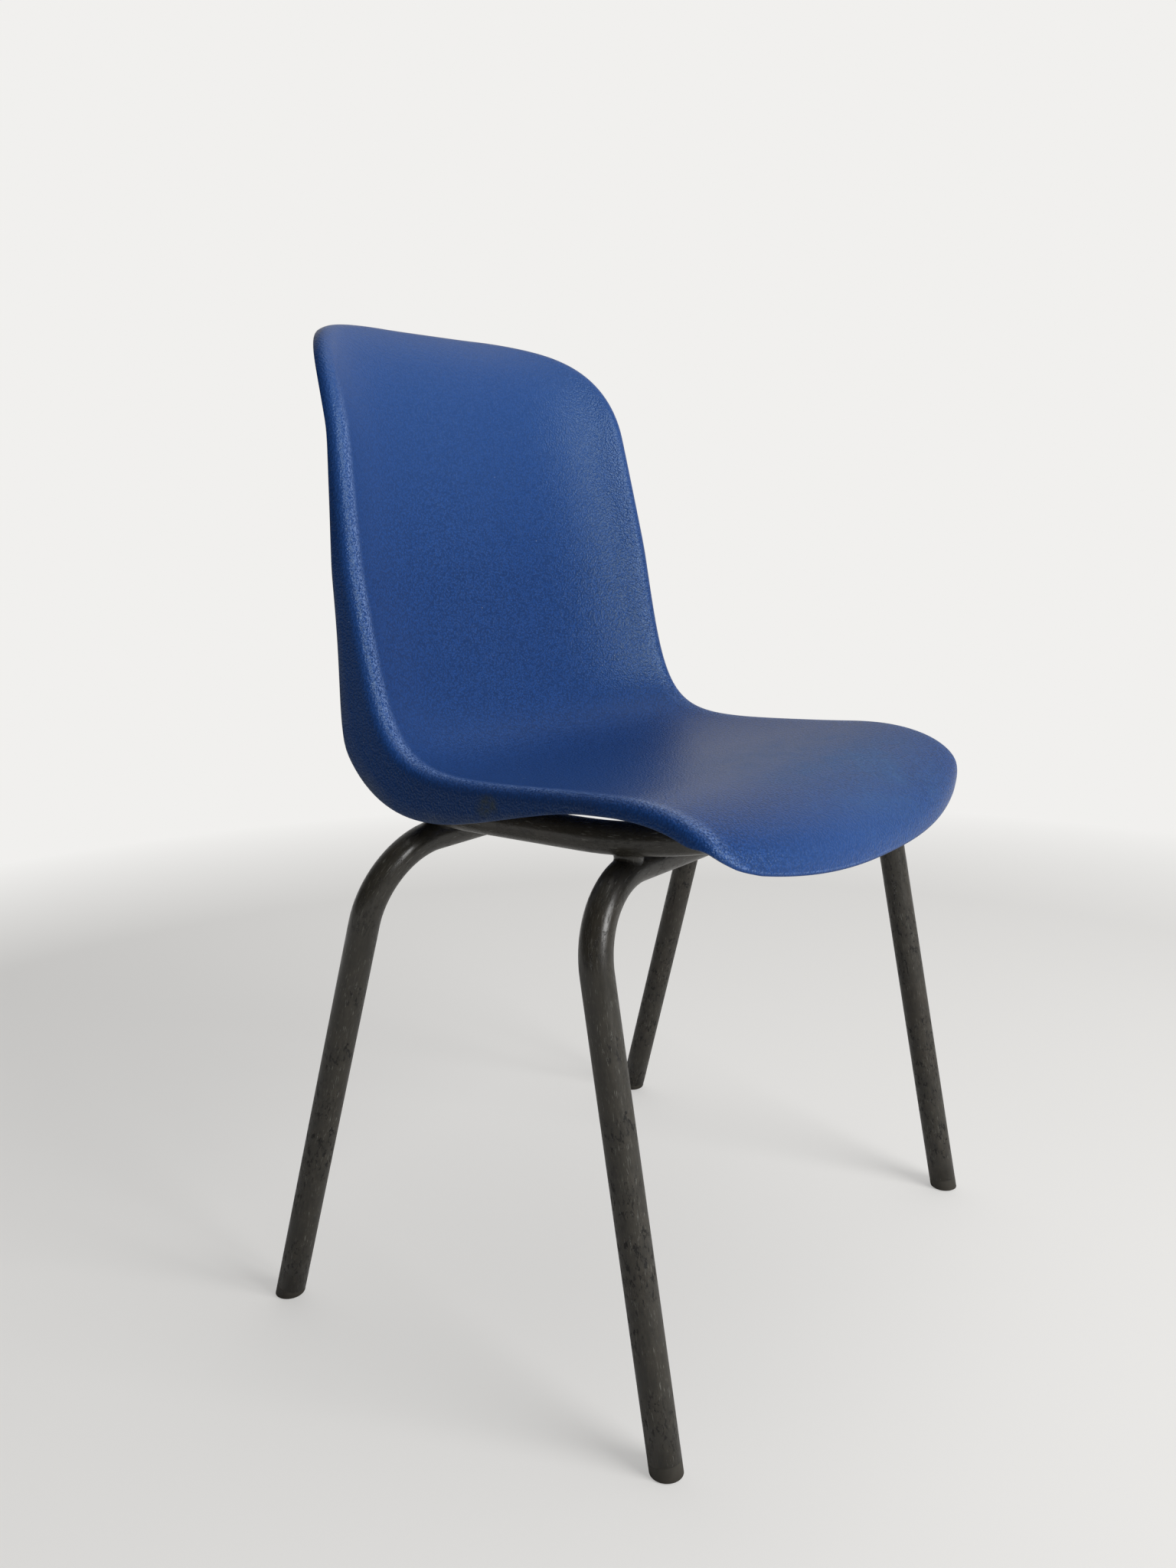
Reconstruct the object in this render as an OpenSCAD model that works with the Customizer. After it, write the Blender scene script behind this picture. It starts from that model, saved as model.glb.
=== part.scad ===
// Stacking school chair: one moulded seat and back shell on a welded round tube frame.
// Millimetres. X runs across the chair, the sitter faces -Y, Z is up, the floor is Z = 0.
// The origin is on the floor under the middle of the overall box. Left is the sitter's left, +X.

/* [Frame] */
// Outside diameter of every frame tube
tube_d = 22; // [20:0.5:25]
// Wall of the frame tubes
tube_wall = 1.5; // [1:0.1:2.5]
// Height of the seat ring's tube axis
ring_z = 391.2; // [370:0.2:410]
// Half width of the seat ring, to the tube axis
ring_half_width = 172; // [165:0.5:180]
// Front of the seat ring, to the tube axis
ring_front_y = -163.1; // [-166:0.1:-154]
// Rear of the seat ring, to the tube axis
ring_rear_y = 103.4; // [99:0.1:113]
// Corner radius of the seat ring, to the tube axis
ring_corner_r = 85; // [70:1:95]
// Bend radius where a hoop turns down into its legs
hoop_bend_r = 59; // [50:1:66]
// Half distance between the front feet
front_foot_x = 221; // [205:1:235]
// Place of the front feet, in front of the middle
front_foot_y = -171.6; // [-185:0.1:-155]
// Forward splay of the front legs, from the vertical
front_splay = 10; // [7:0.5:13]
// Half distance between the rear feet
rear_foot_x = 231; // [215:1:245]
// Place of the rear feet, behind the middle
rear_foot_y = 177.4; // [168:0.1:195]
// Backward splay of the rear legs, from the vertical
rear_splay = 16.5; // [14:0.5:19]
// Sideways splay of the front legs
front_spread = 1.9; // [0.5:0.1:4]
// Sideways splay of the rear legs
rear_spread = 2.6; // [0.5:0.1:4]
// Radius of the weld web where the ring crosses a hoop
web_r = 9.5; // [7:0.5:10.5]

/* [Seat] */
// Wall of the moulded shell
shell_t = 4; // [3:0.5:5]
// Wall of the shell at the skirt's edge
edge_t = 3; // [2:0.5:3]
// Depth of the face's middle line below the ring's top, where seat and back would meet
mid_sink = 7; // [5:0.1:7.4]
// Rise of the face's side line above the ring's top, where seat and back would meet
side_rise = 5.8; // [5:0.1:10]
// Middle corner of seat and back, behind the ring's rear
mid_corner_back = 20.1; // [8:0.1:26]
// Side corner of seat and back, in front of the ring's rear
side_corner_fore = 9.7; // [4:0.1:16]
// Fall of the seat towards the back, in the middle
mid_slope = 3.5; // [2.5:0.1:4.5]
// Fall of the seat towards the back, at the sides
side_slope = 2.4; // [1:0.1:3]
// Length over which the seat's middle line bends up, to where seat and back would meet
mid_bend_lead = 178; // [150:1:190]
// The same for the side line
side_bend_lead = 147.2; // [120:0.1:160]
// Start of the rolled front, behind the ring's front
lip_start = 64; // [50:0.1:70]
// Forward reach of the rolled front, in the middle
lip_reach_mid = 110.2; // [98:0.1:114]
// Drop of the rolled front, in the middle
lip_drop_mid = 55.6; // [46:0.1:60]
// Forward reach of the rolled front, at the sides
lip_reach_side = 87.1; // [74:0.1:90]
// Drop of the rolled front, at the sides
lip_drop_side = 37.9; // [30:0.1:42]
// Half length of the straight front edge
lip_flat = 149.5; // [135:0.1:155]

/* [Back] */
// Lean of the back from the vertical
recline = 9.6; // [6:0.1:14]
// Height of the crown's start above the ring's axis
crown_rise = 265.8; // [240:0.1:290]
// Length of the crown, over which the back curls rearwards, in the middle
mid_crown_run = 89.6; // [80:0.1:105]
// Length of the crown at the sides
side_crown_run = 113; // [90:0.1:125]
// Turn of the crown, in the middle
mid_crown_turn = 39; // [28:0.1:46]
// Turn of the crown, at the sides
side_crown_turn = 30.5; // [22:0.1:40]
// Half length of the straight top edge
top_flat = 57.5; // [40:0.1:90]

/* [Sides] */
// Start of the rolled side inside the ring's outside, at the front corners
tuck_front = 9.3; // [6:0.1:12.5]
// The same at mid seat
tuck_seat = 13.1; // [12:0.1:15]
// The same at the bend between seat and back
tuck_bend = 15.7; // [12:0.1:17]
// The same below the crown
tuck_back = 25.8; // [18:0.1:34]
// The same at the top edge
tuck_top = 9; // [2:0.1:30]
// Radius of the rolled side
roll_r = 8.9; // [8.5:0.1:11]
// Turn of the rolled side
roll_turn = 79.1; // [76:0.1:86]
// Radius of the rolled top edge
top_roll_r = 9.8; // [6:0.1:10]
// Radius of the small roll along the front edge
lip_roll_r = 6.4; // [5.5:0.1:10]
// Turn of the small roll along the front edge
lip_roll_turn = 18; // [10:1:40]
// Depth of the skirt at the front of the seat
skirt_front = 4.4; // [2:0.1:6]
// Depth of the skirt where it is deepest, under the bend
skirt_deep = 30.2; // [20:0.1:32]
// Distance of the deepest skirt in front of the ring's rear
skirt_deep_fore = 10.3; // [0:0.1:30]
// Height above the ring's top where the skirt begins to taper up the back
skirt_taper_rise = 45.8; // [25:0.1:60]
// Depth of the skirt at the foot of the back, without the extra depth under the bend
skirt_back = 16; // [10:0.1:22]

/* [Fixings] */
// Half distance between the fixing screws, across
fix_x = 95; // [75:1:110]
// Distance of each screw from its hoop's axis
fix_reach = 18; // [17:0.5:22]
// Lug plate width
lug_w = 30; // [24:1:36]
// Lug plate thickness
lug_t = 3; // [2:0.5:4]
// Length of each lug past its hoop's crest
lug_tail = 6; // [4:0.5:9]
// Screw shank diameter
screw_d = 5; // [4:0.5:6]
// Screw head diameter
head_d = 9.5; // [8:0.5:11]
// Screw head height
head_t = 3; // [2:0.5:4]
// Outside diameter of the moulded bosses
boss_d = 18; // [14:1:22]

/* [Feet] */
// Height of the foot plug's visible collar, along the leg
plug_collar = 9; // [8:0.5:14]
// Length of the plug inside the tube
plug_spigot = 22; // [16:1:30]
// Rounding of the plug's foot
plug_round = 3; // [2:0.5:4]

/* [Output] */
// Part to draw

/* [Hidden] */
$fn = 48;
$solid = false;
left = 1;
right = -1;
tube_r = tube_d / 2;
bore_r = tube_r - tube_wall;
bend_thinning = 0.2;
bend_lap = 1;
weld_gap = 0.25;
screw_clear = 0.25;
lug_hole_clear = 0.3;
plug_clear = 0.1;
lug_bead_r = 3;
bead_angle = 35;
bead_inset = 2;
head_round = 1;
cut_over = 1;
plug_swell = 1;

ring_top = ring_z + tube_r;
ring_outside = ring_half_width + tube_r;
ring_flat_x = ring_half_width - ring_corner_r;
ring_front_bend = ring_front_y + ring_corner_r;
ring_rear_bend = ring_rear_y - ring_corner_r;

function mix(a, b, f) = a + (b - a) * f;
function ease(f) = let (g = min(1, max(0, f))) g * g * (3 - 2 * g);
function unit(v) = v / norm(v);

// Shell outline in side view, along the middle and along the sides of the face.
// Stations run 0 to 1 round the lip, to 2 along the seat, to 3 round the bend,
// to 4 up the back and to 5 over the crown.
mid_corner = [ring_rear_y + mid_corner_back, ring_top + shell_t - mid_sink];
side_corner = [ring_rear_y - side_corner_fore, ring_top + shell_t + side_rise];
lip_start_y = ring_front_y + lip_start;
crown_start_z = ring_z + crown_rise;
lip_rows = 13;
seat_rows = 3;
bend_rows = 16;
back_rows = 5;
crown_rows = 11;
columns = 26;
column_spread = 80;
lip_crowding = 1.25;
roll_steps = 5;
lip_round_end = 0.21;
lip_roll_end = 0.42;
lip_corner_power = 2.4;
top_round_start = 4;
top_corner_power = 1.9;
top_roll_end = 0.8;
lip_power = 2.22;
dish_front = 2.4;
dish_back = 4;
skirt_fall = 5;
edge_run = 0.5;

function seat_dir(s) = [cos(s), -sin(s)];
function seat_up(s) = [sin(s), cos(s)];
function back_dir(b) = [sin(b), cos(b)];
function back_rear(b) = [cos(b), -sin(b)];

function side_view(t, corner, slope, lead, lip, crown_run, crown_turn) =
    let (
        u = seat_dir(slope),
        n = seat_up(slope),
        b = back_dir(recline),
        crest = corner - u * ((corner[0] - lip_start_y) / cos(slope)),
        bend_a = corner - u * lead,
        bend_b = corner + b * lead,
        crown = corner + b * ((crown_start_z - corner[1]) / cos(recline)),
        ahead = cos(90 * t),
        bent = t - 2
    )
    t < 1 ? crest - u * lip[0] * ahead - n * lip[1] * (1 - sqrt(1 - pow(ahead, lip_power))) :
    t < 2 ? mix(crest, bend_a, t - 1) :
    t < 3 ? pow(1 - bent, 3) * bend_a + 3 * bent * (1 - bent) * corner + pow(bent, 3) * bend_b :
    t < 4 ? mix(bend_b, crown, t - 3) :
    crown + crown_run * spiral(t - 4, crown_turn * PI / 180, b, back_rear(recline));

// A curve of unit length that starts straight along a and tightens evenly towards b,
// until it has turned by the given angle in radians.
function spiral(v, turn, a, b) =
    (v - pow(turn, 2) * pow(v, 5) / 10) * a +
    (turn * pow(v, 3) / 3 - pow(turn, 3) * pow(v, 7) / 42) * b;

function mid_line(t) =
    side_view(t, mid_corner, mid_slope, mid_bend_lead, [lip_reach_mid, lip_drop_mid],
              mid_crown_run, mid_crown_turn);
function side_line(t) =
    side_view(t, side_corner, side_slope, side_bend_lead, [lip_reach_side, lip_drop_side],
              side_crown_run, side_crown_turn);

function half_width(tuck) = ring_outside + shell_t - tuck;
function face_half_width(t) =
    t < 1 ? half_width(tuck_front) :
    t < 2 ? half_width(mix(tuck_front, tuck_seat, sin(90 * (t - 1)))) :
    t < 3 ? half_width(mix(tuck_seat, tuck_bend, ease(t - 2))) :
    t < 4 ? half_width(mix(tuck_bend, tuck_back, t - 3)) :
    half_width(mix(tuck_back, tuck_top, pow(t - 4, 2)));

// How sharply the face turns up towards its sides.
function dish_power(t) = mix(dish_front, dish_back, ease((t - 1.5) / 2));

function face(x, t) =
    let (
        m = mid_line(t),
        s = side_line(t),
        p = m + (s - m) * pow(abs(x) / face_half_width(t), dish_power(t))
    )
    [x, p[0], p[1]];

function face_normal(x, t) =
    let (
        a = face(x + 0.5, t) - face(x - 0.5, t),
        b = face(x, min(5, t + 0.01)) - face(x, max(0, t - 0.01))
    )
    unit(cross(a, b));

// Height of the seat's face over a place on the floor, found by halving the station's range.
function seat_station(x, y, low, high, steps) =
    let (mid = (low + high) / 2)
    steps == 0 ? mid :
    face(x, mid)[1] < y ? seat_station(x, y, mid, high, steps - 1) :
    seat_station(x, y, low, mid, steps - 1);
function seat_z(x, y) = face(x, seat_station(x, y, 0, 3, 24))[2];

// The face is trimmed to round its four corners.
function corner_cut(f, power) = pow(max(0, 1 - pow(f, power)), 1 / power);
function trim(t) =
    t < lip_round_end ? mix(lip_flat, face_half_width(t),
        corner_cut(1 - t / lip_round_end, lip_corner_power)) :
    t > top_round_start ? mix(top_flat, face_half_width(t),
        corner_cut((t - top_round_start) / (5 - top_round_start), top_corner_power)) :
    face_half_width(t);

stations = concat(
    [for (i = [0 : lip_rows - 1]) pow(i / lip_rows, lip_crowding)],
    [for (i = [0 : seat_rows - 1]) 1 + i / seat_rows],
    [for (i = [0 : bend_rows - 1]) 2 + i / bend_rows],
    [for (i = [0 : back_rows - 1]) 3 + i / back_rows],
    [for (i = [0 : crown_rows]) 4 + sin(90 * i / crown_rows)]
);
last_row = len(stations) - 1;
function column_pos(j) = sin(column_spread * (2 * j / columns - 1)) / sin(column_spread);

// Cells of the rim in order: front edge, right side, top edge, left side.
rim = concat(
    [for (j = [0 : columns]) [0, j]],
    [for (i = [1 : last_row]) [i, columns]],
    [for (j = [columns - 1 : -1 : 0]) [last_row, j]],
    [for (i = [last_row - 1 : -1 : 1]) [i, 0]]
);
rim_count = len(rim);

// The skirt deepens along the seat to the bend and tapers up the back to the crown.
function skirt(t) =
    let (
        at = side_line(t),
        taper_z = ring_top + skirt_taper_rise,
        up = min(1, max(0, (at[1] - taper_z) / (crown_start_z - taper_z))),
        deep = skirt_back * (1 - up) + (skirt_deep - skirt_back) * pow(1 - up, skirt_fall),
        back = (at[0] - lip_start_y) / (ring_rear_y - skirt_deep_fore - lip_start_y)
    )
    t < 1 ? mix(edge_run, skirt_front, ease(t / lip_roll_end)) :
    max(edge_run, mix(skirt_front, deep, ease(back)));
function rim_r(t) =
    t < 4 ? mix(lip_roll_r, roll_r, ease(t / lip_roll_end)) :
    mix(roll_r, top_roll_r, ease((t - 4) / top_roll_end));

// The roll turns until the skirt stands square to the side line, whatever way the face leans.
function side_normal(t) =
    let (p = side_line(min(5, t + 0.01)) - side_line(max(0, t - 0.01)))
    unit([0, -p[1], p[0]]);
function rim_turn(t, d) =
    let (rolled = ease(t / lip_roll_end))
    mix(lip_roll_turn, roll_turn, rolled) + rolled * asin(d * side_normal(t));

// The wall as one closed skin: face, back face, and rings round the rolled rim and its edge.
module shell_wall() {
    grid = [for (t = stations) [for (j = [0 : columns]) face(trim(t) * column_pos(j), t)]];
    normals = [for (t = stations) [for (j = [0 : columns]) face_normal(trim(t) * column_pos(j), t)]];
    outs = [for (k = [0 : rim_count - 1])
        let (
            a = rim[(k + 1) % rim_count],
            b = rim[(k + rim_count - 1) % rim_count],
            c = rim[k]
        )
        unit(cross(grid[a[0]][a[1]] - grid[b[0]][b[1]], normals[c[0]][c[1]]))];
    rolled = [for (s = [1 : roll_steps + 1]) [for (k = [0 : rim_count - 1])
        let (
            c = rim[k],
            t = stations[c[0]],
            n = normals[c[0]][c[1]],
            d = outs[k],
            a = rim_turn(t, d) * min(s, roll_steps) / roll_steps,
            run = s > roll_steps ? skirt(t) : 0,
            out = cos(a) * n + sin(a) * d,
            along = cos(a) * d - sin(a) * n
        )
        [grid[c[0]][c[1]] + rim_r(t) * (sin(a) * d - (1 - cos(a)) * n) + run * along, out, along]]];
    wide = columns + 1;
    face_points = [for (row = grid) each row];
    back_points = [for (i = [0 : last_row]) for (j = [0 : columns]) grid[i][j] - shell_t * normals[i][j]];
    outer_rings = [for (ring = rolled) for (q = ring) q[0]];
    edge_ring = [for (q = rolled[roll_steps]) q[0] - edge_t / 2 * q[1] + edge_t / 3 * q[2]];
    inner_rings = [for (s = [roll_steps : -1 : 0]) for (q = rolled[s])
        q[0] - (s == roll_steps ? edge_t : shell_t) * q[1]];
    points = concat(face_points, back_points, outer_rings, edge_ring, inner_rings);
    back_0 = len(face_points);
    ring_0 = 2 * back_0;
    ring_total = 2 * roll_steps + 3;
    // Point k on ring s, where ring 0 is the face's rim and the last is the back's rim.
    function at(s, k) =
        let (c = rim[k % rim_count])
        s == 0 ? c[0] * wide + c[1] :
        s == ring_total + 1 ? back_0 + c[0] * wide + c[1] :
        ring_0 + (s - 1) * rim_count + k % rim_count;
    faces = concat(
        [for (i = [0 : last_row - 1]) for (j = [0 : columns - 1])
            let (p = i * wide + j)
            each [[p, p + wide, p + wide + 1], [p, p + wide + 1, p + 1]]],
        [for (i = [0 : last_row - 1]) for (j = [0 : columns - 1])
            let (p = back_0 + i * wide + j)
            each [[p, p + wide + 1, p + wide], [p, p + 1, p + wide + 1]]],
        [for (s = [0 : ring_total]) for (k = [0 : rim_count - 1])
            each [[at(s, k), at(s, k + 1), at(s + 1, k + 1)],
                  [at(s, k), at(s + 1, k + 1), at(s + 1, k)]]]
    );
    polyhedron(points = points, faces = faces);
}

module seat_shell() {
    color("royalblue") difference() {
        union() {
            shell_wall();
            for (side = [left, right]) for (h = hoops) boss(side * fix_x, screw_y(h), lug_top(h));
        }
        for (side = [left, right]) for (h = hoops) screw_bore(side * fix_x, screw_y(h), lug_top(h));
    }
}

// Moulded boss from the seat's underside down to its lug, and the bore its screw turns into.
module boss(x, y, foot) {
    translate([x, y, foot]) cylinder(h = seat_z(x, y) - shell_t / 2 - foot, d = boss_d);
}

module screw_bore(x, y, foot) {
    translate([x, y, foot - cut_over])
        cylinder(h = screw_reach(x, y, foot) + 2 * cut_over, d = screw_d + 2 * screw_clear);
}

// Thread length in the boss, which stays clear of the seat's wall.
function screw_reach(x, y, foot) = seat_z(x, y) - shell_t - foot - cut_over;

// Frame tubes. With $solid true they are drawn without their bore. A bend draws the tube a
// little thinner, as bending does, and the straight runs reach into it by a short lap.
module tube_section(thinner) {
    difference() {
        circle(r = tube_r - thinner);
        if (!$solid) circle(r = bore_r - thinner);
    }
}

module tube_run(start, end) {
    translate([0, 0, start]) linear_extrude(height = end - start) tube_section(0);
}

module tube_bend(radius, angle) {
    rotate_extrude(angle = angle, $fn = 96) translate([radius, 0]) tube_section(bend_thinning);
}

// Seat ring: a flat rounded rectangle of tube.
module ring_tube() {
    translate([0, 0, ring_z]) {
        for (y = [ring_front_y, ring_rear_y])
            translate([-ring_flat_x, y, 0]) rotate([0, 90, 0])
                tube_run(-bend_lap, 2 * ring_flat_x + bend_lap);
        for (side = [0, 1]) mirror([side, 0, 0]) {
            translate([ring_half_width, ring_front_bend, 0]) rotate([-90, 0, 0])
                tube_run(-bend_lap, ring_rear_bend - ring_front_bend + bend_lap);
            translate([ring_flat_x, ring_rear_bend, 0]) tube_bend(ring_corner_r, 90);
            translate([ring_flat_x, ring_front_bend, 0]) rotate([0, 0, -90]) tube_bend(ring_corner_r, 90);
        }
    }
}

// Distance of a point from the ring's tube axis.
function ring_distance(p) =
    let (
        x = abs(p[0]) - ring_flat_x,
        y = max(p[1] - ring_rear_bend, ring_front_bend - p[1]),
        level = norm([max(x, 0), max(y, 0)]) + min(max(x, y), 0) - ring_corner_r
    )
    norm([level, p[2] - ring_z]);

// A leg hoop: [foot x, foot y, tilt towards the rear, spread in the hoop's own plane, axis height].
// The cross tube lies as high as it can with the ring seated on it, a weld gap apart.
function hoop_at(x, y, tilt, spread, z) = [x, y, tilt, atan(tan(spread) * cos(tilt)), z];
function hoop_y(h) = h[1] - h[4] * tan(h[2]);
function hoop_half(h) = h[0] - tan(h[3]) * h[4] / cos(h[2]);
function hoop_flat(h) = hoop_half(h) - hoop_bend_r * tan((90 - h[3]) / 2);
function hoop_point(h, a) =
    let (down = hoop_bend_r * (1 - cos(max(0, a))))
    [
        hoop_flat(h) + (a < 0 ? a : hoop_bend_r * sin(a)),
        hoop_y(h) + down * sin(h[2]),
        h[4] - down * cos(h[2])
    ];
// Places tried for the crossing: degrees round the hoop's bend, or millimetres before it.
bend_scan = [for (a = [-40 : 1 : 60]) a];
function crossing_gap(h) = min([for (a = bend_scan) ring_distance(hoop_point(h, a))]) - tube_d - weld_gap;
function seated(x, y, tilt, spread, z, steps) =
    let (h = hoop_at(x, y, tilt, spread, z))
    steps == 0 ? h : seated(x, y, tilt, spread, z + crossing_gap(h), steps - 1);

front_hoop = seated(front_foot_x, front_foot_y, -front_splay, front_spread, ring_z - tube_d, 4);
rear_hoop = seated(rear_foot_x, rear_foot_y, rear_splay, rear_spread, ring_z - tube_d, 4);
hoops = [front_hoop, rear_hoop];

// Where the ring crosses the hoop.
function crossing(h) =
    let (gaps = [for (a = bend_scan) ring_distance(hoop_point(h, a))])
    hoop_point(h, bend_scan[search(min(gaps), gaps)[0]]);

// Length of a leg's axis from its bend to the floor.
function leg_length(h) = (h[4] / cos(h[2]) - hoop_bend_r * (1 - sin(h[3]))) / cos(h[3]);

// Moves children from the hoop's own frame, cross tube along X at Z = 0, into place.
module place_hoop(h) {
    translate([0, hoop_y(h), h[4]]) rotate([h[2], 0, 0]) children();
}

// Puts children on the left or right leg, their +Z down the leg from the end of its bend.
module along_leg(h, side) {
    place_hoop(h) mirror([side == left ? 0 : 1, 0, 0])
        translate([hoop_flat(h) + hoop_bend_r * cos(h[3]), 0, -hoop_bend_r * (1 - sin(h[3]))])
            rotate([0, 180 - h[3], 0]) children();
}

module hoop_tube(h) {
    place_hoop(h) {
        translate([-hoop_flat(h), 0, 0]) rotate([0, 90, 0])
            tube_run(-bend_lap, 2 * hoop_flat(h) + bend_lap);
        for (side = [0, 1]) mirror([side, 0, 0])
            translate([hoop_flat(h), 0, -hoop_bend_r]) rotate([90, 0, 0]) rotate([0, 0, h[3]])
                tube_bend(hoop_bend_r, 90 - h[3]);
    }
    for (side = [left, right]) along_leg(h, side) tube_run(-bend_lap, leg_length(h) - plug_collar);
}

module seat_ring() {
    color("dimgray") ring_tube();
}

module front_leg_hoop() {
    color("dimgray") hoop_tube(front_hoop);
}

module rear_leg_hoop() {
    color("dimgray") hoop_tube(rear_hoop);
}

// Weld metal that fills the hollow between the ring and a hoop, up to both tubes' surfaces.
module ring_weld(h, side) {
    at = crossing(h);
    color("slategray") difference() {
        translate([side * at[0], at[1], at[2]]) cylinder(h = ring_z - at[2], r = web_r);
        ring_tube($solid = true);
        hoop_tube(h, $solid = true);
    }
}

// Fixing lugs: plates on the crests of the cross tubes, reaching inwards under the seat.
function inward(h) = h[1] < 0 ? 1 : -1;
function lug_foot(h) = h[4] + tube_r + weld_gap;
function lug_top(h) = lug_foot(h) + lug_t;
function screw_y(h) = hoop_y(h) + inward(h) * fix_reach;

module lug(h, side) {
    color("dimgray") translate([side * fix_x, hoop_y(h), lug_foot(h)]) linear_extrude(height = lug_t)
        mirror([0, inward(h) < 0 ? 1 : 0]) difference() {
            union() {
                translate([-lug_w / 2, -lug_tail]) square([lug_w, lug_tail + fix_reach]);
                translate([0, fix_reach]) circle(d = lug_w);
            }
            translate([0, fix_reach]) circle(d = screw_d + 2 * lug_hole_clear);
        }
}

// Fillet welds in the corner between each lug and its cross tube.
module lug_bead(h, side) {
    reach = tube_r * sin(bead_angle);
    difference() {
        translate([side * fix_x - lug_w / 2 + bead_inset, hoop_y(h) + inward(h) * reach,
                   h[4] + tube_r * cos(bead_angle)])
            rotate([0, 90, 0]) cylinder(h = lug_w - 2 * bead_inset, r = lug_bead_r);
        hoop_tube(h, $solid = true);
        translate([side * fix_x - lug_w, hoop_y(h) - lug_w, lug_foot(h)])
            cube([2 * lug_w, 2 * lug_w, lug_w]);
    }
}

module lug_welds() {
    color("slategray") for (h = hoops) for (side = [left, right]) lug_bead(h, side);
}

// Pan head screws, driven upwards through the lugs into the bosses.
module screw(length) {
    cylinder(h = length, d = screw_d);
    mirror([0, 0, 1]) rotate_extrude() {
        square([head_d / 2, head_t - head_round]);
        square([head_d / 2 - head_round, head_t]);
        translate([head_d / 2 - head_round, head_t - head_round]) circle(r = head_round);
    }
}

module shell_screws() {
    color("silver") for (h = hoops) for (side = [left, right])
        translate([side * fix_x, screw_y(h), lug_foot(h)])
            screw(lug_t + screw_reach(side * fix_x, screw_y(h), lug_top(h)));
}

// Foot plug: a collar that carries on the leg, cut flat and rounded at the floor, on a spigot.
module foot_plug(h, side) {
    foot_r = tube_r + plug_swell;
    drop = leg_length(h);
    tall = 3 * plug_collar;
    color("dimgray") union() {
        intersection() {
            along_leg(h, side) translate([0, 0, drop - plug_collar]) cylinder(h = tall, r = tube_r);
            translate([side * h[0], h[1], 0]) rotate_extrude() {
                square([foot_r - plug_round, tall]);
                translate([0, plug_round]) square([foot_r, tall]);
                translate([foot_r - plug_round, plug_round]) circle(r = plug_round);
            }
        }
        along_leg(h, side) translate([0, 0, drop - plug_collar - plug_spigot])
            cylinder(h = plug_spigot + cut_over, r = bore_r - plug_clear);
    }
}

seat_shell();
seat_ring();
front_leg_hoop();
rear_leg_hoop();
ring_weld(front_hoop, left);  // ring_weld_front_left
ring_weld(front_hoop, right);  // ring_weld_front_right
ring_weld(rear_hoop, left);  // ring_weld_rear_left
ring_weld(rear_hoop, right);  // ring_weld_rear_right
lug(front_hoop, left);  // lug_front_left
lug(front_hoop, right);  // lug_front_right
lug(rear_hoop, left);  // lug_rear_left
lug(rear_hoop, right);  // lug_rear_right
lug_welds();
shell_screws();
foot_plug(front_hoop, left);  // foot_plug_front_left
foot_plug(front_hoop, right);  // foot_plug_front_right
foot_plug(rear_hoop, left);  // foot_plug_rear_left
foot_plug(rear_hoop, right);  // foot_plug_rear_right
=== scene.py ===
from math import asin, atan, cos, hypot, pi, radians, sin, sqrt, tan

import bmesh
import bpy
from mathutils import Matrix, Vector


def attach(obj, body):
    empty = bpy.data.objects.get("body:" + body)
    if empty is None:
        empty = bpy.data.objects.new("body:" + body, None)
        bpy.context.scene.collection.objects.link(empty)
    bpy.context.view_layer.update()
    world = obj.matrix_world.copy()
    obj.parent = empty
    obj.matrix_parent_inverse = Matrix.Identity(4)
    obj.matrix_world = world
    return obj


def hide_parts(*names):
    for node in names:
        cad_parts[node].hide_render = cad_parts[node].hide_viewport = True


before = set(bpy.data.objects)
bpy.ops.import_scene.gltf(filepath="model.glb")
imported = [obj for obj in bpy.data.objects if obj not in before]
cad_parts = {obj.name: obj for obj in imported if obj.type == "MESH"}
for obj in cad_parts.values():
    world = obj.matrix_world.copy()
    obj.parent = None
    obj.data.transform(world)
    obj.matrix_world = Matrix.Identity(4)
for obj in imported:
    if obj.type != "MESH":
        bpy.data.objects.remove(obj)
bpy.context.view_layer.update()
scene = bpy.context.scene
mm = 0.001
print("frame loaded:", len(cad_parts), "CAD nodes")


viewpoint = {
    "place": (-0.812, -0.5757, 0.5881),
    "lookAt": (0.0418, 0.0827, 0.3699),
    "roll": -1.13,  # the photograph leans a little
    "lens": 29.78,
}


def setCamera(values):
    data = bpy.data.cameras.new("chairCamera")
    data.lens = values["lens"]
    data.sensor_width = 36
    data.clip_start, data.clip_end = 0.01, 60
    camera = bpy.data.objects.new("chairCamera", data)
    scene.collection.objects.link(camera)
    ahead = Vector(values["lookAt"]) - Vector(values["place"])
    turn = ahead.to_track_quat("-Z", "Y").to_matrix() @ Matrix.Rotation(radians(values["roll"]), 3, "Z")
    camera.matrix_world = Matrix.Translation(values["place"]) @ turn.to_4x4()
    scene.camera = camera


setCamera(viewpoint)


class Field:
    # a shader socket that can stand in a sum
    def __init__(self, finish, socket):
        self.finish, self.socket = finish, socket

    def __add__(self, other):
        return self.finish.maths("ADD", self, other)

    def __radd__(self, other):
        return self.finish.maths("ADD", other, self)

    def __sub__(self, other):
        return self.finish.maths("SUBTRACT", self, other)

    def __rsub__(self, other):
        return self.finish.maths("SUBTRACT", other, self)

    def __mul__(self, other):
        return self.finish.maths("MULTIPLY", self, other)

    def __rmul__(self, other):
        return self.finish.maths("MULTIPLY", other, self)

    def __truediv__(self, other):
        return self.finish.maths("DIVIDE", self, other)


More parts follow.
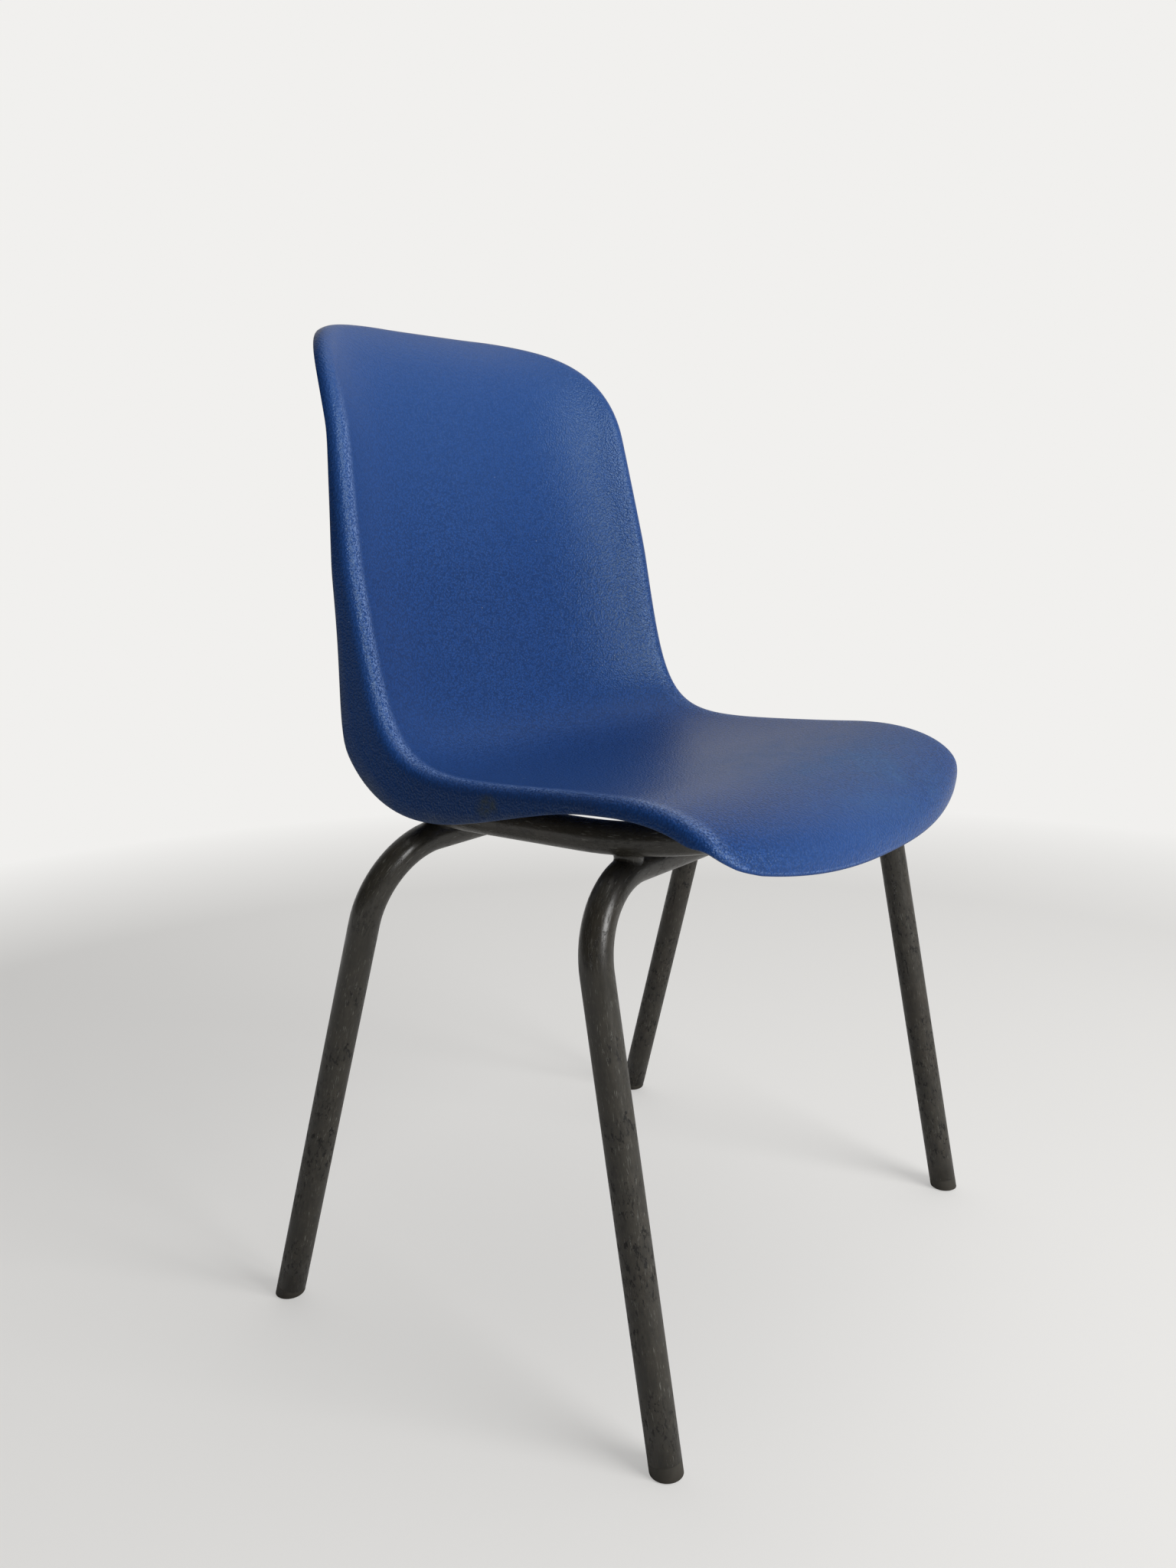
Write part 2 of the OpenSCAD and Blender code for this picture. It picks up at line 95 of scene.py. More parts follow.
class Finish:
    # one node tree, of a material or of the world
    def __init__(self, owner):
        owner.use_nodes = True
        self.owner, self.tree = owner, owner.node_tree
        self.tree.nodes.clear()

    def node(self, kind, settings=None, inputs=None, out=0):
        made = self.tree.nodes.new(kind)
        for key, value in (settings or {}).items():
            if key == "stops":
                ramp = made.color_ramp.elements
                while len(ramp) < len(value):
                    ramp.new(0.5)
                for element, (place, shade) in zip(ramp, value):
                    element.position, element.color = place, (shade, shade, shade, 1)
            else:
                setattr(made, key, value)
        for key, value in (inputs or {}).items():
            if isinstance(value, Field):
                self.tree.links.new(value.socket, made.inputs[key])
            else:
                made.inputs[key].default_value = value
        return Field(self, made.outputs[out]) if made.outputs else None

    def maths(self, operation, first, second, clamp=False):
        settings = {"operation": operation, "use_clamp": clamp}
        return self.node("ShaderNodeMath", settings, {0: first, 1: second})

    def clamped(self, field):
        return self.maths("ADD", field, 0, clamp=True)

    def objectSpace(self, place=(0, 0, 0), scale=(1, 1, 1)):
        # Object coordinates seen from a place on the piece, and stretched
        return self.mapped(self.node("ShaderNodeTexCoord", out="Object"), place, scale)

    def mapped(self, coords, place=(0, 0, 0), scale=(1, 1, 1)):
        return self.node("ShaderNodeMapping", {"vector_type": "TEXTURE"},
                         {"Vector": coords, "Location": place, "Scale": scale})

    def attribute(self, name, out="Fac"):
        return self.node("ShaderNodeAttribute", {"attribute_name": name}, out=out)

    def noise(self, vector, scale, detail=3, roughness=0.55):
        return self.node("ShaderNodeTexNoise", {},
                         {"Vector": vector, "Scale": scale, "Detail": detail, "Roughness": roughness})

    def cells(self, vector, scale, smoothness=None):
        inputs = {"Vector": vector, "Scale": scale}
        if smoothness is None:
            return self.node("ShaderNodeTexVoronoi", {"feature": "F1"}, inputs)
        inputs["Smoothness"] = smoothness
        return self.node("ShaderNodeTexVoronoi", {"feature": "SMOOTH_F1"}, inputs)

    def ramp(self, field, *stops):
        return self.node("ShaderNodeValToRGB", {"stops": stops}, {"Fac": field})

    def blend(self, amount, under, over):
        # sockets 6 and 7 of a colour mix are its two colours, and its third output is the result
        under, over = [(*c, 1) if isinstance(c, tuple) else c for c in (under, over)]
        return self.node("ShaderNodeMix", {"data_type": "RGBA"}, {0: amount, 6: under, 7: over}, out=2)

    def length(self, vector):
        return self.node("ShaderNodeVectorMath", {"operation": "LENGTH"}, {0: vector}, out="Value")

    def blot(self, place, reach, soft):
        # 1 inside an ellipsoid about a place on the piece, falling to 0 at its skin
        far = self.length(self.objectSpace(place, reach))
        return self.ramp(far, (1 - soft, 1), (1, 0))

    def heightOf(self, vector):
        return self.node("ShaderNodeSeparateXYZ", {}, {0: vector}, out="Z")

    def bump(self, height, distance, strength, under=None):
        inputs = {"Height": height, "Distance": distance, "Strength": strength}
        if under is not None:
            inputs["Normal"] = under
        return self.node("ShaderNodeBump", {}, inputs)

    def surface(self, inputs):
        shader = self.node("ShaderNodeBsdfPrincipled", {}, inputs)
        self.node("ShaderNodeOutputMaterial", {}, {"Surface": shader})
        return self.owner


def newFinish(name):
    return Finish(bpy.data.materials.new(name))


shellLook = {
    "blue": (0.012, 0.051, 0.200),
    "valley": 0.6, "peak": 1.4,  # share of the blue between the pebbles and on them
    "paintedLight": (0.028, 0.082, 0.262),  # painted light: lighter at the top of the back, left of the bend and in the middle of the lip
    "paintedLightHeight": (0.54, 0.7),
    "lipPaintedLight": {"place": (-0.05, -0.225, 0.385), "reach": (0.16, 0.07, 0.05), "soft": 0.8},
    "bendPaintedLight": {"place": (-0.1, 0.02, 0.43), "reach": (0.14, 0.13, 0.07), "soft": 0.8},
    "glint": (0.045, 0.115, 0.320),  # painted glints: fine light dots all over
    "worn": (0.070, 0.165, 0.330),
    "seatWear": {"place": (0.05, -0.145, 0.40), "reach": (0.145, 0.105, 0.09), "soft": 0.9},
    "edge": (0.075, 0.090, 0.120),  # rubbed free edge of the skirt
    "scuff": (0.036, 0.046, 0.044),
    "scuffMark": {"place": (-0.185, -0.006, 0.4035), "reach": (0.012, 0.012, 0.009), "soft": 0.6},
    "nick": (0.30, 0.36, 0.47),
    "crest": (0.200, 0.310, 0.580),  # painted highlight: sparkle along the crest of the roll
    "flangeShade": 0.45,  # painted shade: the flange is darker than the face
    "grainSize": 1.6 * mm, "grainDepth": 0.36 * mm, "waveDepth": 0.5 * mm,
    "roughness": 0.29, "ior": 1.49, "specular": 0.25, "sheenTint": (0.62, 0.84, 1.0, 1),
}


def shaded(colour, share):
    return tuple(share * c for c in colour)


def shellFinish(look):
    f = newFinish("grainedBluePlastic")
    space = f.objectSpace()
    jitter = f.node("ShaderNodeTexNoise", {}, {"Vector": space, "Scale": 420, "Detail": 1}, out="Color")
    bent = f.node("ShaderNodeVectorMath", {"operation": "MULTIPLY_ADD"},
                  {0: jitter, 1: (look["grainSize"],) * 3, 2: space})
    pebble = 1 - f.cells(bent, 1 / look["grainSize"], smoothness=0.4)
    fine = f.noise(space, 1900, 2, 0.6)
    broad = f.noise(space, 5, 3, 0.5)
    height = f.heightOf(space)
    rim = f.attribute("rimBand")
    ridgeHighlight = f.attribute("crestBand")
    flange = f.ramp(rim, (0.45, 0), (0.75, 1))

    # where the plastic is worn or marked, and where light, glints and highlights are painted on
    rubbed = f.ramp(f.noise(space, 38, 4, 0.62), (0.42, 0), (0.7, 1))
    seatWear = f.clamped(f.blot(**look["seatWear"]) * (0.45 + 0.75 * rubbed))
    speckWear = f.ramp(f.noise(space, 620, 2, 0.6), (0.46, 0), (0.64, 1))
    mark = f.ramp(f.noise(space, 150, 4), (0.4, 0), (0.6, 1))
    scuff = f.clamped(f.blot(**look["scuffMark"]) * (0.35 + 0.9 * mark))
    edgeWear = f.clamped(f.ramp(rim, (0.9, 0), (1.0, 1)) * (0.45 + 0.8 * rubbed))
    # painted light: the face gets lighter up the back, in the middle of the lip and left of the bend
    start, full = look["paintedLightHeight"]
    paintedLightShare = f.ramp(height, (start, 0), (full, 1)) + f.blot(**look["lipPaintedLight"])
    paintedLightShare = paintedLightShare + 0.5 * f.blot(**look["bendPaintedLight"])
    glintSpecks = f.ramp(f.noise(space, 1300, 2, 0.7), (0.6, 0), (0.7, 1))
    sparkle = f.ramp(f.noise(space, 700, 2, 0.6), (0.44, 0), (0.6, 1))
    nick = f.ramp(f.cells(space, 95), (0.028, 1), (0.05, 0))
    nick = nick * f.ramp(f.noise(space, 21, 2), (0.56, 0), (0.62, 1))

    # pebbles catch more light than the valleys between them
    grain = f.ramp(pebble * 0.8 + fine * 0.4, (0.5, 0), (0.9, 1))
    grain = 0.5 + (grain - 0.5) * (1 - 0.65 * rim)  # the flange is evener
    colour = f.blend(grain, shaded(look["blue"], look["valley"]), shaded(look["blue"], look["peak"]))
    # painted glints: fine light dots over the face
    colour = f.blend(f.clamped(0.5 * glintSpecks), colour, look["glint"])
    colour = f.blend(0.35 * broad, colour, shaded(look["blue"], 0.8))
    # painted light on the face, not on the flange
    colour = f.blend(f.clamped(0.55 * paintedLightShare * (1 - flange)), colour, look["paintedLight"])
    colour = f.blend(f.clamped(0.5 * seatWear * (0.5 + 0.7 * speckWear)), colour, look["worn"])
    # painted highlight along the crest of the roll
    colour = f.blend(f.clamped(0.7 * ridgeHighlight * sparkle), colour, look["crest"])
    # painted shade on the flange
    colour = f.blend(0.55 * flange, colour, shaded(look["blue"], look["flangeShade"]))
    colour = f.blend(f.clamped(0.6 * edgeWear), colour, look["edge"])
    colour = f.blend(f.clamped(0.75 * scuff), colour, look["scuff"])
    colour = f.blend(f.clamped(0.8 * nick), colour, look["nick"])

    roughness = look["roughness"] + 0.06 * broad + 0.2 * seatWear + 0.1 * scuff - 0.05 * ridgeHighlight
    relief = f.bump(pebble + 0.3 * fine, look["grainDepth"], 1.0)
    relief = f.bump(f.noise(space, 9, 2), look["waveDepth"], 0.35, under=relief)
    return f.surface({"Base Color": colour, "Roughness": f.clamped(roughness), "Normal": relief,
                      "IOR": look["ior"], "Specular IOR Level": look["specular"],
                      "Specular Tint": look["sheenTint"]})


frameLook = {
    "enamel": (0.0235, 0.0215, 0.0170),
    "faded": (0.0460, 0.0410, 0.0320),
    "pale": (0.19, 0.19, 0.17),  # fine scratches along the tube
    "chip": (0.007, 0.006, 0.005),
    "brown": (0.034, 0.025, 0.017),
    "rubbedBelow": (0.27, 0.42),  # legs are rubbed duller than the bends above them
    "streakDepth": 0.05 * mm, "chipDepth": 0.14 * mm,
    "roughness": 0.23, "ior": 1.5, "specular": 0.38,
}


def frameFinish(name, look, follow):
    # follow: the piece carries tubeSpace, coordinates that run along its tube
    f = newFinish(name)
    space = f.objectSpace()
    along = f.attribute("tubeSpace", out="Vector") if follow else space
    height = f.heightOf(space)
    leg, bend = look["rubbedBelow"]
    low = f.ramp(height + 0.08 * f.noise(space, 12, 2), (leg, 1), (bend, 0))

    # noises that are drawn out along the tube
    streak = f.noise(f.mapped(along, scale=(1, 1, 4)), 480, 4, 0.6)
    hairline = f.noise(f.mapped(along, scale=(1, 1, 9)), 1300, 3, 0.6)
    mottle = f.noise(along, 75, 4, 0.6)
    patch = f.noise(along, 26, 3, 0.5)
    flake = f.noise(f.mapped(along, scale=(1, 1, 2.2)), 430, 5, 0.7)

    faded = f.ramp(streak * 0.55 + mottle * 0.45, (0.40, 0), (0.62, 1)) * (0.35 + 0.65 * low)
    scratch = f.ramp(hairline, (0.6, 0), (0.66, 1)) * f.ramp(mottle, (0.42, 0), (0.58, 1))
    chip = f.ramp(flake, (0.565, 0), (0.575, 1)) * f.ramp(patch, (0.43, 0), (0.52, 1))
    chip = chip * (0.4 + 0.6 * low)
    brown = f.ramp(f.noise(space, 16, 4, 0.6), (0.5, 0), (0.75, 1))

    colour = f.blend(f.clamped(0.9 * faded), look["enamel"], look["faded"])
    colour = f.blend(f.clamped(0.4 * brown), colour, look["brown"])
    colour = f.blend(f.clamped(0.55 * scratch), colour, look["pale"])
    colour = f.blend(f.clamped(chip), colour, look["chip"])
    roughness = look["roughness"] + 0.15 * faded + 0.14 * low + 0.2 * chip + 0.05 * mottle
    relief = f.bump(streak, look["streakDepth"], 0.6)
    relief = f.bump(f.clamped(1 - chip - 0.3 * scratch), look["chipDepth"], 0.9, under=relief)
    return f.surface({"Base Color": colour, "Roughness": f.clamped(roughness), "Normal": relief,
                      "IOR": look["ior"], "Specular IOR Level": look["specular"]})


footLook = {
    "plastic": (0.034, 0.031, 0.025),
    "dust": (0.058, 0.053, 0.043),
    "grime": (0.034, 0.028, 0.021),
    "grimeHeight": 9 * mm,
    "grainDepth": 0.05 * mm, "dustDepth": 0.15 * mm,
    "roughness": 0.48, "ior": 1.5, "specular": 0.3,
}


def footFinish(look):
    f = newFinish("footPlastic")
    space = f.objectSpace()
    dirt = f.ramp(f.noise(space, 120, 4, 0.6), (0.4, 0), (0.7, 1))
    height = f.heightOf(space)
    low = f.ramp(height * 100, (0.0, 1), (100 * look["grimeHeight"], 0))
    colour = f.blend(f.clamped(0.6 * dirt), look["plastic"], look["dust"])
    colour = f.blend(f.clamped(0.5 * low), colour, look["grime"])
    roughness = look["roughness"] + 0.2 * dirt + 0.1 * low
    relief = f.bump(f.noise(space, 1400, 3), look["grainDepth"], 0.6)
    relief = f.bump(dirt, look["dustDepth"], 0.4, under=relief)
    return f.surface({"Base Color": colour, "Roughness": f.clamped(roughness), "Normal": relief,
                      "IOR": look["ior"], "Specular IOR Level": look["specular"]})


screwLook = {
    "zinc": (0.48, 0.46, 0.42),
    "rust": (0.12, 0.075, 0.045),
    "rustDepth": 0.04 * mm,
    "roughness": 0.34,
}


def screwFinish(look):
    f = newFinish("screwSteel")
    space = f.objectSpace()
    spots = f.ramp(f.noise(space, 900, 4, 0.65), (0.5, 0), (0.68, 1))
    colour = f.blend(f.clamped(0.6 * spots), look["zinc"], look["rust"])
    metal = f.clamped(1 - 0.8 * spots)
    roughness = f.clamped(look["roughness"] + 0.4 * spots)
    relief = f.bump(spots, look["rustDepth"], 0.7)
    return f.surface({"Base Color": colour, "Metallic": metal, "Roughness": roughness, "Normal": relief})


finishes = {
    "shell": shellFinish(shellLook),
    "tube": frameFinish("frameEnamel", frameLook, True),
    "weld": frameFinish("weldEnamel", frameLook, False),
    "foot": footFinish(footLook),
    "screw": screwFinish(screwLook),
}
print("finishes made:", len(finishes))


def keepPiece(name, mesh, finish, replaced, smoothLevels=0):
    # the mesh is built in millimetres
    mesh.transform(Matrix.Diagonal((mm, mm, mm, 1)))
    data = bpy.data.meshes.new(name)
    mesh.to_mesh(data)
    mesh.free()
    data.polygons.foreach_set("use_smooth", [True] * len(data.polygons))
    piece = bpy.data.objects.new(name, data)
    scene.collection.objects.link(piece)
    data.materials.append(finish)
    if smoothLevels:
        modifier = piece.modifiers.new("smooth", "SUBSURF")
        modifier.levels = modifier.render_levels = smoothLevels
    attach(piece, "root")
    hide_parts(*replaced)


def mix(a, b, share):
    return a + (b - a) * share


def ease(share):
    share = min(1, max(0, share))
    return share * share * (3 - 2 * share)


# All lengths in millimetres, in the chair's own frame.
ring = {"tube": 22, "axisZ": 391.2, "halfWidth": 172, "frontY": -163.1, "rearY": 103.4, "corner": 85}

shell = {
    "wall": 4, "edge": 3,
    # side view of the middle line and the side line: each one's corner is where seat and back would meet
    "midSink": 7, "sideRise": 5.8, "midCornerBack": 20.1, "sideCornerFore": 9.7,
    "midSlope": 3.5, "sideSlope": 2.4, "midBend": 178, "sideBend": 147.2,
    "lipStart": 64, "lipMid": (110.2, 55.6), "lipSide": (87.1, 37.9), "lipPower": 2.22,
    "recline": 9.6, "crownRise": 265.8, "midCrown": (89.6, 39), "sideCrown": (113, 30.5),
    # from the front: how far the sides are tucked in, and the rounding of the four corners
    "tuckFront": 9.3, "tuckSeat": 13.1, "tuckBend": 15.7, "tuckBack": 25.8, "tuckTop": 9,
    "lipFlat": 149.5, "lipRoundEnd": 0.21, "lipCorner": 2.4,
    "topFlat": 57.5, "topRoundStart": 4, "topCorner": 1.9,
    # how sharply the face turns up towards its sides, and the stations over which that changes
    "dishFront": 2.4, "dishBack": 4, "dishChange": (1.5, 3.5),
    # the rolled rim, and the skirt that hangs from it
    "roll": 8.9, "rollTurn": 79.1, "lipRoll": 6.4, "lipRollTurn": 18, "lipRollEnd": 0.42,
    "topRoll": 9.8, "topRollRun": 0.8,
    "skirtFront": 4.4, "skirtDeep": 30.2, "skirtDeepFore": 10.3, "skirtBack": 16, "edgeRun": 0.5,
    "taperRise": 45.8, "taperPower": 5,
    # how finely the skin is divided
    "columns": 60, "columnArc": 80, "lipRows": 22, "lipCrowding": 1.25, "seatRows": 5,
    "bendRows": 24, "backRows": 9, "crownRows": 18, "rollSteps": 6,
    "skirtLoops": (0.25, 0.5, 0.75, 0.94, 1),
    # rimBand: 0 on the face, this at the roll's end, 1 at the skirt's edge, where the wall is thinner
    "rollBand": 0.75, "thinFrom": 0.9, "thinOver": 0.1,
}

# a painted highlight along the crest of the roll: strong along the back and the bend, less at the lip,
# the top corners and on +X
crestHighlight = {"width": 11, "roll": 1.6, "lipShare": 0.65, "fadeStart": 3.9, "fadeRun": 0.5, "leftShare": 0.35}

slopeStep = 0.01  # between the two stations that a slope is taken from

ringTop = ring["axisZ"] + ring["tube"] / 2
ringOutside = ring["halfWidth"] + ring["tube"] / 2


def sideView(t, corner, slope, lead, lip, crownRun, crownTurn):
    # outline of the face in side view at a station: 0-1 lip, 1-2 seat, 2-3 bend, 3-4 back, 4-5 crown
    s, b = radians(slope), radians(shell["recline"])
    corner = Vector(corner)
    along, up = Vector((cos(s), -sin(s))), Vector((sin(s), cos(s)))
    back, rear = Vector((sin(b), cos(b))), Vector((cos(b), -sin(b)))
    crest = corner - along * ((corner[0] - ring["frontY"] - shell["lipStart"]) / cos(s))
    bendA, bendB = corner - along * lead, corner + back * lead
    crown = corner + back * ((ring["axisZ"] + shell["crownRise"] - corner[1]) / cos(b))
    if t < 1:
        ahead = cos(pi / 2 * t)
        return crest - along * lip[0] * ahead - up * lip[1] * (1 - sqrt(1 - ahead ** shell["lipPower"]))
    if t < 2:
        return crest.lerp(bendA, t - 1)
    if t < 3:
        bent = t - 2
        return (1 - bent) ** 3 * bendA + 3 * bent * (1 - bent) * corner + bent ** 3 * bendB
    if t < 4:
        return bendB.lerp(crown, t - 3)
    # the crown tightens evenly from the straight back to its own turn
    v, turn = t - 4, radians(crownTurn)
    onward = v - turn ** 2 * v ** 5 / 10
    rearward = turn * v ** 3 / 3 - turn ** 3 * v ** 7 / 42
    return crown + crownRun * (onward * back + rearward * rear)


def midLine(t):
    corner = (ring["rearY"] + shell["midCornerBack"], ringTop + shell["wall"] - shell["midSink"])
    return sideView(t, corner, shell["midSlope"], shell["midBend"], shell["lipMid"],
                    *shell["midCrown"])


def sideLine(t):
    corner = (ring["rearY"] - shell["sideCornerFore"], ringTop + shell["wall"] + shell["sideRise"])
    return sideView(t, corner, shell["sideSlope"], shell["sideBend"], shell["lipSide"],
                    *shell["sideCrown"])


def faceHalfWidth(t):
    full = ringOutside + shell["wall"]
    if t < 1:
        return full - shell["tuckFront"]
    if t < 2:
        return full - mix(shell["tuckFront"], shell["tuckSeat"], sin(pi / 2 * (t - 1)))
    if t < 3:
        return full - mix(shell["tuckSeat"], shell["tuckBend"], ease(t - 2))
    if t < 4:
        return full - mix(shell["tuckBend"], shell["tuckBack"], t - 3)
    return full - mix(shell["tuckBack"], shell["tuckTop"], (t - 4) ** 2)


def face(x, t):
    start, end = shell["dishChange"]
    power = mix(shell["dishFront"], shell["dishBack"], ease((t - start) / (end - start)))
    y, z = midLine(t).lerp(sideLine(t), (abs(x) / faceHalfWidth(t)) ** power)
    return Vector((x, y, z))


def faceNormal(x, t):
    across = face(x + 0.5, t) - face(x - 0.5, t)
    along = face(x, min(5, t + slopeStep)) - face(x, max(0, t - slopeStep))
    return across.cross(along).normalized()


def trim(t):
    # the face's half width with its four corners rounded
    def cornerCut(share, power):
        return max(0, 1 - share ** power) ** (1 / power)
    if t < shell["lipRoundEnd"]:
        share = 1 - t / shell["lipRoundEnd"]
        return mix(shell["lipFlat"], faceHalfWidth(t), cornerCut(share, shell["lipCorner"]))
    if t > shell["topRoundStart"]:
        share = (t - shell["topRoundStart"]) / (5 - shell["topRoundStart"])
        return mix(shell["topFlat"], faceHalfWidth(t), cornerCut(share, shell["topCorner"]))
    return faceHalfWidth(t)


def skirtDepth(t):
    # deepens along the seat to the bend, then tapers up the back to the crown
    if t < 1:
        return mix(shell["edgeRun"], shell["skirtFront"], ease(t / shell["lipRollEnd"]))
    y, z = sideLine(t)
    taperZ = ringTop + shell["taperRise"]
    low = 1 - min(1, max(0, (z - taperZ) / (ring["axisZ"] + shell["crownRise"] - taperZ)))
    deep = shell["skirtBack"] * low
    deep += (shell["skirtDeep"] - shell["skirtBack"]) * low ** shell["taperPower"]
    start = ring["frontY"] + shell["lipStart"]
    share = (y - start) / (ring["rearY"] - shell["skirtDeepFore"] - start)
    return max(shell["edgeRun"], mix(shell["skirtFront"], deep, ease(share)))


def rimRadius(t):
    if t < 4:
        return mix(shell["lipRoll"], shell["roll"], ease(t / shell["lipRollEnd"]))
    return mix(shell["roll"], shell["topRoll"], ease((t - 4) / shell["topRollRun"]))


def rimTurn(t, outwards):
    # the roll turns until the skirt stands square to the side line
    run = sideLine(min(5, t + slopeStep)) - sideLine(max(0, t - slopeStep))
    square = Vector((0, -run[1], run[0])).normalized()
    rolled = ease(t / shell["lipRollEnd"])
    lean = asin(max(-1, min(1, outwards.dot(square))))
    return radians(mix(shell["lipRollTurn"], shell["rollTurn"], rolled)) + rolled * lean


def stationList():
    rows = shell
    lip = [(i / rows["lipRows"]) ** rows["lipCrowding"] for i in range(rows["lipRows"])]
    seat = [1 + i / rows["seatRows"] for i in range(rows["seatRows"])]
    bend = [2 + i / rows["bendRows"] for i in range(rows["bendRows"])]
    back = [3 + i / rows["backRows"] for i in range(rows["backRows"])]
    crown = [4 + sin(pi / 2 * i / rows["crownRows"]) for i in range(rows["crownRows"] + 1)]
    return lip + seat + bend + back + crown


def seatHeight(x, y):
    # halves the stretch from the lip to the bend's end until it has the place
    low, high = 0, 3
    for _ in range(30):
        middle = (low + high) / 2
        if face(x, middle)[1] < y:
            low = middle
        else:
            high = middle
    return face(x, low)[2]


def crestShare(t, x):
    along = mix(crestHighlight["lipShare"], 1, ease(t - 1))
    corner = 1 - ease((t - crestHighlight["fadeStart"]) / crestHighlight["fadeRun"])
    return along * corner * (1 if x < 0 else crestHighlight["leftShare"])


def layFace(mesh, crest):
    # a grid bent into the face, and the station and normal of each vertex
    stations = stationList()
    bmesh.ops.create_grid(mesh, x_segments=shell["columns"], y_segments=len(stations) - 1, size=0.5)
    placed = {}
    for vert in mesh.verts:
        t = stations[round((vert.co.y + 0.5) * (len(stations) - 1))]
        spread = sin(radians(2 * shell["columnArc"] * vert.co.x)) / sin(radians(shell["columnArc"]))
        x = trim(t) * spread
        vert[crest] = ease(1 - (trim(t) - abs(x)) / crestHighlight["width"]) * crestShare(t, x)
        placed[vert] = (t, faceNormal(x, t))
        vert.co = face(x, t)
    mesh.normal_update()
    if sum(f.normal.z for f in mesh.faces) < 0:
        bmesh.ops.reverse_faces(mesh, faces=mesh.faces)
    return placed


def rimFrames(border, placed):
    # at each vertex of the face's edge: where the rim starts, its station, its normal and the way out
    inside = (Vector((0, *midLine(2.2))), Vector((0, 0, 470)))  # in the bend, and before the back
    frames = {}
    for vert in {v for e in border for v in e.verts}:
        pair = [e.other_vert(vert).co for e in vert.link_edges if e.is_boundary]
        t, normal = placed[vert]
        out = (pair[0] - pair[1]).cross(normal).normalized()
        if all(out.dot(vert.co - heart) < 0 for heart in inside):
            out = -out
        inner = [e.other_vert(vert).co for e in vert.link_edges if not e.is_boundary]
        if inner and out.dot(vert.co - inner[0]) < 0:
            out = -out
        frames[vert] = (vert.co.copy(), t, normal, out)
    return frames


def rollRim(mesh, placed, band, crest):
    # the rolled rim and the skirt, loop by loop, and the way the wall faces at each vertex
    border = [e for e in mesh.edges if e.is_boundary]
    turned = rimFrames(border, placed)
    facing = {v: placed[v][1] for v in mesh.verts}
    steps = shell["rollSteps"]
    for step in range(1, steps + 1 + len(shell["skirtLoops"])):
        rolled = min(step, steps) / steps
        hung = shell["skirtLoops"][step - steps - 1] if step > steps else 0
        made = bmesh.ops.extrude_edge_only(mesh, edges=border)["geom"]
        border = [g for g in made if isinstance(g, bmesh.types.BMEdge) and g.is_boundary]
        moved = {}
        for vert in [g for g in made if isinstance(g, bmesh.types.BMVert)]:
            source = next(e.other_vert(vert) for e in vert.link_edges if e.other_vert(vert) in turned)
            place, t, normal, out = turned[source]
            angle = rimTurn(t, out) * min(step, steps) / steps
            onward = cos(angle) * out - sin(angle) * normal
            swung = rimRadius(t) * (sin(angle) * out - (1 - cos(angle)) * normal)
            vert.co = place + swung + skirtDepth(t) * hung * onward
            vert[crest] = (1 - ease(crestHighlight["roll"] * rolled)) * crestShare(t, place.x)
            vert[band] = mix(shell["rollBand"] * rolled, 1, hung)
            facing[vert] = cos(angle) * normal + sin(angle) * out
            moved[vert] = (place, t, normal, out)
        turned = moved
    return facing


def addInnerWall(mesh, facing, band, crest):
    # a wall thickness behind the outer skin, and joined to it at the skirt's edge
    thins = {v: ease((v[band] - shell["thinFrom"]) / shell["thinOver"]) for v in mesh.verts}
    copied = bmesh.ops.duplicate(mesh, geom=list(mesh.verts) + list(mesh.edges) + list(mesh.faces))
    twin = copied["vert_map"]
    for vert, direction in facing.items():
        twin[vert].co = vert.co - mix(shell["wall"], shell["edge"], thins[vert]) * direction
        twin[vert][crest] = 0  # the painted highlight is only on the outside
    innerFaces = [g for g in copied["geom"] if isinstance(g, bmesh.types.BMFace)]
    bmesh.ops.reverse_faces(mesh, faces=innerFaces)
    bmesh.ops.bridge_loops(mesh, edges=[e for e in mesh.edges if e.is_boundary])


def makeShell(screwPlaces):
    mesh = bmesh.new()
    band = mesh.verts.layers.float.new("rimBand")
    crest = mesh.verts.layers.float.new("crestBand")
    placed = layFace(mesh, crest)
    facing = rollRim(mesh, placed, band, crest)
    bmesh.ops.recalc_face_normals(mesh, faces=mesh.faces)
    if sum(f.normal.z for f in mesh.faces if abs(f.calc_center_median().x) < 100) < 0:
        bmesh.ops.reverse_faces(mesh, faces=mesh.faces)
    addInnerWall(mesh, facing, band, crest)
    for x, y, foot in screwPlaces:
        addBoss(mesh, x, y, foot, seatHeight(x, y) - shell["wall"] + boss["sunk"])
    bmesh.ops.recalc_face_normals(mesh, faces=mesh.faces)
    keepPiece("blueShell", mesh, finishes["shell"], ["seat_shell"], smoothLevels=1)


boss = {"radius": 9, "flare": 3, "segments": 32, "sunk": 1, "bevel": (0.5, 0.4), "holdLoop": 1.5}


